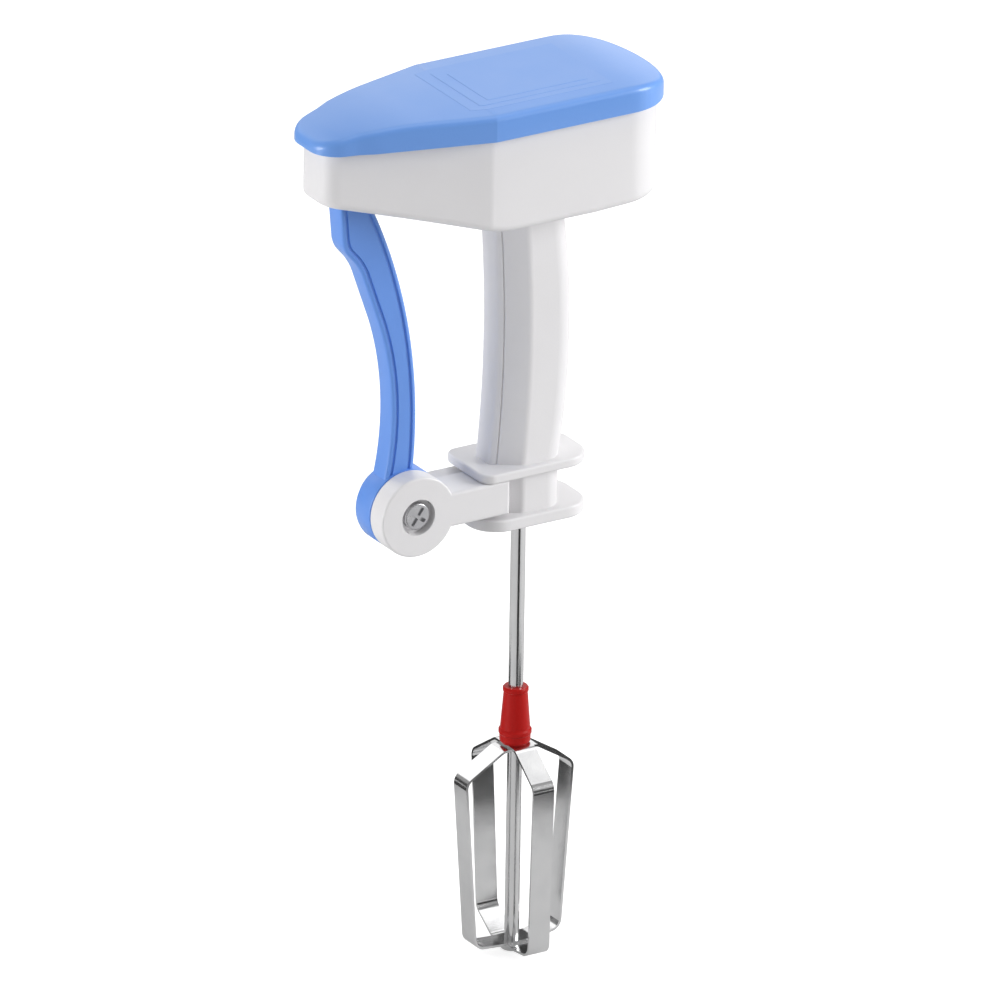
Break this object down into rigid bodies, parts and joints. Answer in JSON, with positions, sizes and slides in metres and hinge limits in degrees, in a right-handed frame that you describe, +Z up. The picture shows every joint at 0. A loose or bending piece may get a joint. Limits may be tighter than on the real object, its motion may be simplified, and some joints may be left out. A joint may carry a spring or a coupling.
{
  "type": "hand crank blender",
  "caption": "Hand-operated blender: squeeze lever, gear head with lid, upright grip and a long shaft with crossed whisk loops.",
  "frame": {"origin": "on the whisk shaft's axis, half-way up the grip", "axes": "+Z up along the whisk shaft to the lid; the squeeze lever is on the -X side"},
  "size_m": [0.1407, 0.0576, 0.335],
  "materials": {
    "white_plastic": "satin moulded",
    "blue_plastic": "satin moulded",
    "red_plastic": "gloss",
    "gear_nylon": "matte",
    "stainless": "polished",
    "zinc_steel": "plated",
    "brass_bush": "turned"
  },
  "bodies": {
    "housing": {"gear_case": "white_plastic", "lid": "blue_plastic", "gear_plate": "zinc_steel", "gear_axle_1": "zinc_steel", "gear_axle_2": "zinc_steel", "plate_screws": "zinc_steel", "case_screws": "zinc_steel", "upper_bush": "brass_bush", "handle_shell": "white_plastic", "handle_front_strip": "white_plastic", "hinge_bracket": "white_plastic", "lower_bush": "brass_bush", "bracket_screws": "zinc_steel", "pivot_screw": "zinc_steel", "pivot_nut": "zinc_steel"},
    "lever": {"squeeze_lever": "blue_plastic", "lever_bush": "brass_bush", "drive_pin": "zinc_steel", "return_spring": "zinc_steel"},
    "rack": {"rack": "gear_nylon"},
    "gear_1": {"gear_1": "gear_nylon"},
    "gear_2": {"gear_2": "gear_nylon"},
    "whisk": {"whisk_shaft": "stainless", "output_pinion": "gear_nylon", "shaft_clip": "zinc_steel", "thrust_collar": "zinc_steel", "whisk_coupler": "red_plastic", "whisk_loop_outer": "stainless", "whisk_loop_inner": "stainless", "whisk_end_nut": "stainless"}
  },
  "joints": [
    {"name": "whisk_spin", "type": "hinge", "parent": "housing", "child": "whisk", "pos_m": [0, 0, 0], "axis": [0, 0, -1], "range_deg": [0, 1658.59]},
    {"name": "gear_2_spin", "type": "hinge", "parent": "housing", "child": "gear_2", "pos_m": [0.021, 0, 0.06], "axis": [0, 0, 1], "range_deg": [0, 663.57]},
    {"name": "gear_1_spin", "type": "hinge", "parent": "housing", "child": "gear_1", "pos_m": [-0.0135, 0, 0.07], "axis": [0, 0, -1], "range_deg": [0, 426.58]},
    {"name": "rack_slide", "type": "slide", "parent": "housing", "child": "rack", "axis": [1, 0, 0], "range_m": [0, 0.04467]},
    {"name": "lever_swing", "type": "hinge", "parent": "housing", "child": "lever", "pos_m": [-0.0496, 0, -0.06], "axis": [0, 1, 0], "range_deg": [0, 20], "deforming": ["return_spring"]}
  ],
  "couplings": [
    {"joint": "gear_2_spin", "follows": "whisk_spin", "ratio": 0.4},
    {"joint": "gear_1_spin", "follows": "whisk_spin", "ratio": 0.25714},
    {"joint": "rack_slide", "follows": "whisk_spin", "m_per_rad": 0.0015429},
    {"joint": "lever_swing", "follows": "whisk_spin", "ratio": 0.012058}
  ]
}
